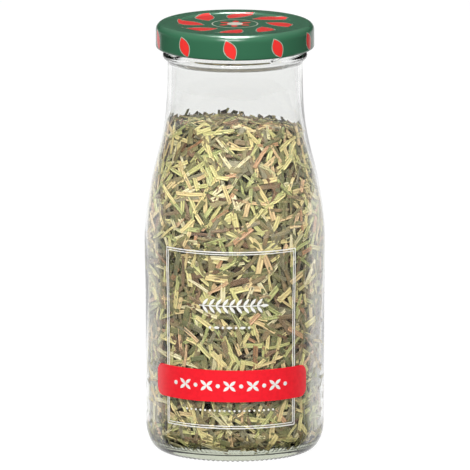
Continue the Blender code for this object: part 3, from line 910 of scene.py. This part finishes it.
def banner_ornament_strips():
    """A running row of leaf pairs along the banner."""
    middle = (BANNER_LOW.z + BANNER_HIGH.z) / 2
    strips = []
    for i in range(-5, 6):
        s = i * 3.4 * MM
        if i % 2:
            strips.append(dot(s, middle, 0.62 * MM))
        else:
            for angle in (40.0, 140.0, 220.0, 320.0):
                strips.append(petal(s, middle, 2.3 * MM, 0.95 * MM, math.radians(angle)))
    return strips


def print_material(name, colour, roughness):
    """Screen print: an even ink with a fine grain and slightly uneven gloss."""
    made, add, link = new_material(name)
    grain = object_noise(add, 900.0, 3.0)
    link(mix(add, 1.0, colour, grain.scaled(0.3, 0.7, 0.92, 1.04), "MULTIPLY"), "Base Color")
    link(grain.scaled(0.0, 1.0, roughness - 0.08, roughness + 0.08), "Roughness")
    relief(add, link, grain, 0.08, 0.05 * MM)
    return made


def lid_material(settings):
    """Green lacquer with slanted red leaf shapes in thin pale lines, on the top and round the skirt."""
    made, add, link = new_material("lid lacquer", {"Roughness": 0.22, "Specular IOR Level": 0.35})
    place = add("ShaderNodeSeparateXYZ", {"Vector": add("ShaderNodeTexCoord").outputs["Object"]})
    x, y, z = (Value(add, place.outputs[axis]) for axis in "XYZ")
    radius = (x * x + y * y).math("SQRT")
    angle = x.math("ARCTAN2", y * -1.0)
    height = z - LID_LOW.z

    def below(value, limit, soft=0.06 * MM):
        """1 where the value is under the limit, with a soft edge."""
        return value.scaled(limit - soft, limit + soft, 1.0, 0.0)

    def cell(count, middle):
        """Arc length from the middle of the nearest of some equal cells round the lid."""
        part = angle.math("MULTIPLY_ADD", count / math.tau, 0.5).math("FRACT") - 0.5
        return part * (math.tau * middle / count)

    def leaf_shape(across, up, half_width, half_length, lean):
        """A leaf lying at a lean: its filled form, and the thin line round it."""
        side = across * math.cos(lean) + up * math.sin(lean)
        along = up * math.cos(lean) - across * math.sin(lean)
        share = along / half_length
        over = abs(side) - (1.0 - share * share) * half_width
        line = below(over, 0.0) * (1.0 - below(over, -0.16 * MM))
        return below(over, -0.30 * MM), line * below(abs(along), half_length + 0.1 * MM)

    on_top = below(height * -1.0, -6.3 * MM, 0.05 * MM)
    on_skirt = 1.0 - on_top
    top_leaf, top_line = leaf_shape(
        cell(8, 13.6 * MM), radius - 13.2 * MM, 2.9 * MM, 5.6 * MM, math.radians(42.0)
    )
    heart_leaf, _ = leaf_shape(cell(6, 3.0 * MM), radius - 3.0 * MM, 1.15 * MM, 2.4 * MM, 0.0)
    ring_line = below(abs(radius - 6.6 * MM), 0.14 * MM)
    skirt_leaf, skirt_line = leaf_shape(
        cell(10, LID_HIGH.x), height - 3.1 * MM, 1.9 * MM, 3.2 * MM, math.radians(24.0)
    )
    red = (on_top * top_leaf.math("MAXIMUM", heart_leaf)).math("MAXIMUM", on_skirt * skirt_leaf)
    pale = (on_top * top_line.math("MAXIMUM", ring_line)).math("MAXIMUM", on_skirt * skirt_line)
    ground = mix(add, red, settings.lacquer, settings.accent)
    link(mix(add, pale, ground, settings.line), "Base Color")
    relief(add, link, object_noise(add, 420.0, 2.0), 0.06, 0.05 * MM)
    return made


def make_lid():
    """The lid as bent sheet with a curled edge, its lugs pressed inwards out of the curl."""
    base, top = LID_LOW.z, LID_HIGH.z
    outer = LID_HIGH.x
    sheet, shoulder, curl = 0.3 * MM, 2.0 * MM, 0.62 * MM
    panel, slope, depth = 16.2 * MM, 0.9 * MM, 0.4 * MM
    profile = [(r, top - depth) for r in np.linspace(0.0, panel, 8)]
    for t in np.linspace(0.0, 1.0, 7)[1:]:
        profile.append((panel + slope * t, top - depth * (1 - float(smooth_step(0.0, 1.0, t)))))
    profile += arc((outer - shoulder, top - shoulder), shoulder, shoulder, 90.0, 0.0, 14)
    profile += [(outer, z) for z in np.linspace(top - shoulder, base + curl, 8)[1:-1]]
    curl_start = len(profile)
    profile += arc((outer - curl, base + curl), curl, curl, 0.0, -250.0, 18)
    curl_end = len(profile)
    inner = outer - sheet
    profile += [(inner, base + 1.9 * curl)]
    profile += arc((outer - shoulder, top - shoulder), shoulder - sheet, shoulder - sheet, 0.0, 90.0, 10)
    for t in np.linspace(1.0, 0.0, 7):
        profile.append((panel + slope * t, top - sheet - depth * (1 - float(smooth_step(0.0, 1.0, t)))))
    profile.append((0.0, top - sheet - depth))

    def warp(angles, radius, height, rows):
        along = np.mod(angles - LUG_START, math.tau / RIB_COUNT)
        window = smooth_step(0.0, 0.05, along) * (1 - smooth_step(LUG_ARC - 0.05, LUG_ARC, along))
        on_curl = ((rows > curl_start + 5) & (rows < curl_end))[:, None]
        inward = (outer - 0.9 * curl - radius) / (1.1 * curl)
        pressed = radius - LUG_PRESS * window * np.clip(inward, 0.0, 1.0)
        return np.where(on_curl, pressed, radius), height

    lid = lathe("lid_shell", profile, LID_SEGMENTS, warp)
    for polygon in lid.data.polygons:
        polygon.material_index = int(polygon.index >= (curl_end - 2) * LID_SEGMENTS)
    return lid


# Stage

def area_light(name, place, target, size, radiance, only_gloss=False):
    """A light of even radiance that the camera doesn't see."""
    data = bpy.data.lights.new(name, "AREA")
    data.shape = "RECTANGLE"
    data.size, data.size_y = size
    data.energy = radiance * math.pi * size[0] * size[1]
    made = bpy.data.objects.new(name, data)
    bpy.context.scene.collection.objects.link(made)
    made.location = place
    made.rotation_mode = "QUATERNION"
    made.rotation_quaternion = (Vector(target) - Vector(place)).to_track_quat("-Z", "Y")
    made.visible_camera = False
    if only_gloss:
        made.visible_diffuse = False
        made.visible_transmission = False
    return made


KEY_ELEVATION = math.radians(46.0)
KEY_TURN = math.radians(-7.0)
KEY_AIM = (0.0, 0.0, 0.06)
KEY_SIZE = (0.45, 0.45)
# The rim softbox hangs over the back of the lid, and only the lid's edge and the glass mirror it.
RIM_BACK = 0.12
RIM_HEIGHT = 1.12
RIM_AIM = (0.0, -0.022, 0.124)
RIM_SIZE = (0.3, 0.75)
RIM_SHARE = 3.2
FLOOR_DROP = 0.2 * MM
# The sky's level at the sine of the height above the horizon.
SKY = [(0.0, 0.34), (0.02, 0.06), (0.25, 0.07), (0.60, 0.46)]


def studio_world():
    """A soft sky: brightest overhead, dim near the horizon, and grey below it."""
    world = bpy.data.worlds.new("studio")
    world.use_nodes = True
    add = node_adder(world.node_tree)
    place = add("ShaderNodeSeparateXYZ", {"Vector": add("ShaderNodeTexCoord").outputs["Generated"]})
    background = world.node_tree.nodes["Background"]
    world.node_tree.links.new(grey_ramp(add, place.outputs["Z"], SKY), background.inputs["Color"])
    background.inputs["Strength"].default_value = 1.0
    return world


# How far a ray mirrored by the glass has gone, and the height of the sheet there, in millimetres.
FLAG_PATH = [(2.0, 0.4), (1500.0, 0.4)]
NECK_FLAG_PATH = [(430.0, 0.5), (1500.0, 0.5)]
CARD_PATH = [(4.0, 0.6), (60.0, 0.6), (88.0, 5.0), (97.0, 30.0), (100.0, 72.0)]
BACKDROP_PATH = [(1200.0, 0.0), (1200.0, 800.0)]
BODY_RADIUS = 26.0
CARD_LEANS = np.array([52.0, 54.5, 57.0, 59.5, 62.0, 65.0, 68.0, 71.0, 74.0])


def mirrored_sheet(name, view, leans, path, glossy=True, transmission=False):
    """A sheet that the glass mirrors where its surface faces so many degrees away from the view."""
    points = []
    for lean in np.radians(leans):
        start = Vector(round_place(view + lean, BODY_RADIUS, 0.0))
        away = Vector(round_place(view + 2 * lean, 1.0, 0.0))
        for gone, height in path:
            points.append((start + away * gone + Vector((0.0, 0.0, height))) * MM)
    rows = len(path)
    faces = [
        (i * rows + j, (i + 1) * rows + j, (i + 1) * rows + j + 1, i * rows + j + 1)
        for i in range(len(leans) - 1)
        for j in range(rows - 1)
    ]
    made = new_object(name, points, faces, smooth=False)
    lean = made.data.attributes.new("lean", "FLOAT", "POINT")
    lean.data.foreach_set("value", np.repeat(np.abs(leans), rows))
    made.visible_camera = False
    made.visible_diffuse = False
    made.visible_shadow = False
    made.visible_glossy = glossy
    made.visible_transmission = transmission
    return made


def card_material(strength):
    """Gives off light that comes back equally strong from the glass at each lean of its surface."""
    made, add, link = new_material("side card", {**DARK, "Emission Strength": 10.0 * strength})
    lean = Value(add, add("ShaderNodeAttribute", attribute_name="lean").outputs["Fac"])
    cosine = np.cos(np.radians(CARD_LEANS))
    bent = np.sqrt(1 - (1 - cosine**2) / GLASS_IOR**2)
    across = ((cosine - GLASS_IOR * bent) / (cosine + GLASS_IOR * bent)) ** 2
    along = ((bent - GLASS_IOR * cosine) / (bent + GLASS_IOR * cosine)) ** 2
    glow = smooth_step(51.5, 60.0, CARD_LEANS) * 0.1 / (0.5 * (across + along))
    link(grey_ramp(add, lean / 90.0, zip(CARD_LEANS / 90.0, glow)), "Emission Color")
    return made


class HERBJAR_OT_glass(Operator):
    """Build the glass"""

    bl_idname = "herbjar.glass"
    bl_label = "Glass"

    def execute(self, context):
        piece = make_glass(context.scene.herbjar_glass)
        for name, mirror in (("clear glass", 1.0), ("glass at the leaves", LEAF_SIDE_MIRROR)):
            piece.data.materials.append(glass_material(context.scene.herbjar_glass, name, mirror))
        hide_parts("jar_glass")
        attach(piece, "jar")
        return {"FINISHED"}


class HERBJAR_OT_leaves(Operator):
    """Fill the jar with cut dried leaves"""

    bl_idname = "herbjar.leaves"
    bl_label = "Leaves"

    def execute(self, context):
        settings = context.scene.herbjar_leaves
        group = leaf_collection("leaf_forms")
        tree = leaf_tree()
        # Name, form, and in millimetres how far in and how deep; then tilt, roll, and the painted light of
        # the layer, which brightens the outer and top leaves and darkens the deeper ones as painted shade.
        layers = [
            ("leaves_outer", fill_surface, 0.15, 0.4, 0.05, 0.25, 1.14),
            ("leaves_second", fill_surface, 0.7, 0.8, 0.12, 0.4, 0.48),
            ("leaves_third", fill_surface, 1.8, 1.0, 0.2, 0.6, 0.12),
            ("leaves_top", top_surface, 0.3, 0.8, 0.26, 0.7, 1.36),
            ("leaves_top_under", top_surface, 1.1, 0.8, 0.22, 0.7, 0.85),
        ]
        for number, (name, make_surface, inset, depth, tilt, roll, painted_light_level) in enumerate(layers):
            surface = make_surface(f"{name}_place", inset * MM)
            piece = scatter(
                surface, name, tree, Leaves=group, Finish=leaf_material(f"dried leaf {number + 1}", painted_light_level),
                Seed=settings.seed + 20 * number, Density=settings.density, Spacing=settings.spacing,
                Depth=depth * MM, Tilt=tilt, Roll=roll, Smallest=LEAF_SCALE[0], Largest=LEAF_SCALE[1],
                Flow=LEAF_FLOW,
            )
            keep_in_glass(piece)
            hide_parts("rosemary_leaves")
            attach(piece, "jar")
        # A dark core under the leaves stands in for the shade deep in the heap: painted shade.
        core = fill_surface("leaves_core", 3.0 * MM, top=True)
        core.data.materials.append(core_material())
        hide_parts("rosemary_leaves")
        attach(core, "jar")
        for form in list(group.objects):
            bpy.data.objects.remove(form)
        bpy.data.collections.remove(group)
        return {"FINISHED"}


def core_material():
    """The inside of the heap, coloured dark as painted shade, seen only through the gaps between the leaves.
    """
    made, add, link = new_material("leaf heap", {"Roughness": 0.8})
    noise = object_noise(add, 700.0, 4.0)
    stops = [(0.35, (0.06, 0.045, 0.018)), (0.55, (0.22, 0.19, 0.08)), (0.75, (0.40, 0.35, 0.17))]
    link(colour_ramp(add, noise, stops), "Base Color")
    relief(add, link, noise, 1.0, 0.5 * MM)
    return made


class HERBJAR_OT_lid(Operator):
    """Build the lid and finish its sealing ring"""

    bl_idname = "herbjar.lid"
    bl_label = "Lid"

    def execute(self, context):
        piece = make_lid()
        piece.data.materials.append(lid_material(context.scene.herbjar_lid))
        piece.data.materials.append(print_material("inner lacquer", (0.62, 0.58, 0.50, 1.0), 0.35))
        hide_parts("lid_cap")
        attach(piece, "lid")
        ring = frame["nodes"]["lid_gasket"]
        ring.data.materials.clear()
        ring.data.materials.append(print_material("sealing compound", (0.78, 0.77, 0.72, 1.0), 0.5))
        return {"FINISHED"}


class HERBJAR_OT_print(Operator):
    """Print the border, the banner and the ornament on the glass"""

    bl_idname = "herbjar.print"
    bl_label = "Print"

    def execute(self, context):
        settings = context.scene.herbjar_print
        white = print_material("white print", settings.white, 0.4)
        red = print_material("banner print", settings.banner, 0.35)
        gap = 0.3 * MM
        pieces = [
            ("border_upper", border_strips(BANNER_HIGH.z - gap, BORDER_TOP, "top"), white,
             "label_frame_upper", "label_frame", PRINT_GAP),
            ("border_lower", border_strips(BORDER_FOOT, BANNER_LOW.z + gap, "foot"), white,
             "label_frame_lower", "label_frame", PRINT_GAP),
            ("banner_band", [banner_strip()], red, "label_banner", "label_banner", 3.5 * PRINT_GAP),
            ("sprig_ornament", sprig_strips(), white, None, "label_frame", PRINT_GAP),
            ("banner_ornament", banner_ornament_strips(), white, None, "label_frame", 6.0 * PRINT_GAP),
        ]
        for name, strips, finish, node, slot, lift in pieces:
            piece = printed(name, strips, lift)
            piece.data.materials.append(finish)
            if node:
                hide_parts(node)
            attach(piece, "jar")
        return {"FINISHED"}


class HERBJAR_OT_stage(Operator):
    """Set the floor, the lights and the camera"""

    bl_idname = "herbjar.stage"
    bl_label = "Stage"

    def execute(self, context):
        settings = context.scene.herbjar_stage
        scene = context.scene
        scene.view_settings.view_transform = "Standard"
        floor = lathe("floor", [(0.0, 0.0), (0.5, 0.0), (3.0, 0.0)], 64)
        floor.location.z = -FLOOR_DROP
        paint, _, _ = new_material("floor paint", {
            "Base Color": (0.1, 0.1, 0.1, 1.0),
            "Roughness": 0.9,
            "Specular IOR Level": 0.0,
            "Emission Color": WHITE,
            "Emission Strength": settings.floor_glow,
        })
        floor.data.materials.append(paint)
        floor.visible_diffuse = False
        floor.visible_shadow = False
        scene.world = studio_world()
        view = settings.azimuth
        key_place = round_place(view + KEY_TURN, math.cos(KEY_ELEVATION), math.sin(KEY_ELEVATION))
        area_light("key softbox", key_place, KEY_AIM, KEY_SIZE, settings.key_light)
        rim_place = round_place(view + math.pi, RIM_BACK, RIM_HEIGHT)
        rim_light = RIM_SHARE * settings.key_light
        area_light("rim softbox", rim_place, RIM_AIM, RIM_SIZE, rim_light, only_gloss=True)
        cloth, _, _ = new_material("black cloth", DARK)
        for name, leans, path in (
            ("front flag", np.linspace(-51.0, 51.0, 35), FLAG_PATH),
            ("neck flag", np.linspace(-69.0, 69.0, 47), NECK_FLAG_PATH),
        ):
            mirrored_sheet(name, view, leans, path).data.materials.append(cloth)
        for side in (-1, 1):
            card = mirrored_sheet(f"side card {side}", view, side * np.linspace(52.0, 74.0, 12), CARD_PATH)
            card.data.materials.append(card_material(settings.card_light * (1 + 0.12 * side)))
        backdrop = mirrored_sheet("backdrop", view, np.linspace(0.0, 180.0, 49), BACKDROP_PATH, False, True)
        glow, _, _ = new_material(
            "white backdrop", {"Base Color": BLACK, "Emission Color": WHITE, "Emission Strength": 1.0}
        )
        backdrop.data.materials.append(glow)
        camera = bpy.data.objects.new("camera", bpy.data.cameras.new("camera"))
        scene.collection.objects.link(camera)
        aim = Vector((0.0, 0.0, settings.aim_height))
        away = Vector(round_place(view, math.cos(settings.elevation), math.sin(settings.elevation)))
        camera.location = aim + away * settings.distance
        camera.rotation_mode = "QUATERNION"
        camera.rotation_quaternion = (-away).to_track_quat("-Z", "Y")
        camera.data.lens = camera.data.sensor_width * settings.distance / settings.view_width
        camera.data.clip_start, camera.data.clip_end = 0.1, 50.0
        scene.camera = camera
        return {"FINISHED"}


class HERBJAR_PT_panel(Panel):
    """Lists the steps that build the jar"""

    bl_idname = "HERBJAR_PT_panel"
    bl_label = "Herb Jar"
    bl_space_type = "VIEW_3D"
    bl_region_type = "UI"
    bl_category = "Herb Jar"

    def draw(self, context):
        for operator in OPERATORS:
            self.layout.operator(operator.bl_idname)
        for name, settings in SETTINGS:
            box = self.layout.box()
            for key in settings.__annotations__:
                box.prop(getattr(context.scene, name), key)


OPERATORS = [
    HERBJAR_OT_stage, HERBJAR_OT_glass, HERBJAR_OT_leaves, HERBJAR_OT_lid, HERBJAR_OT_print,
]
SETTINGS = [
    ("herbjar_glass", GlassSettings), ("herbjar_leaves", LeafSettings), ("herbjar_lid", LidSettings),
    ("herbjar_print", PrintSettings), ("herbjar_stage", StageSettings),
]


def register():
    for name, settings in SETTINGS:
        bpy.utils.register_class(settings)
        setattr(bpy.types.Scene, name, PointerProperty(type=settings))
    for made in [*OPERATORS, HERBJAR_PT_panel]:
        bpy.utils.register_class(made)


def unregister():
    for made in reversed([*OPERATORS, HERBJAR_PT_panel]):
        bpy.utils.unregister_class(made)
    for name, settings in SETTINGS:
        delattr(bpy.types.Scene, name)
        bpy.utils.unregister_class(settings)


def main():
    register()
    bpy.ops.herbjar.stage()
    bpy.ops.herbjar.glass()
    bpy.ops.herbjar.leaves()
    bpy.ops.herbjar.lid()
    bpy.ops.herbjar.print()


if __name__ == "__main__":
    main()
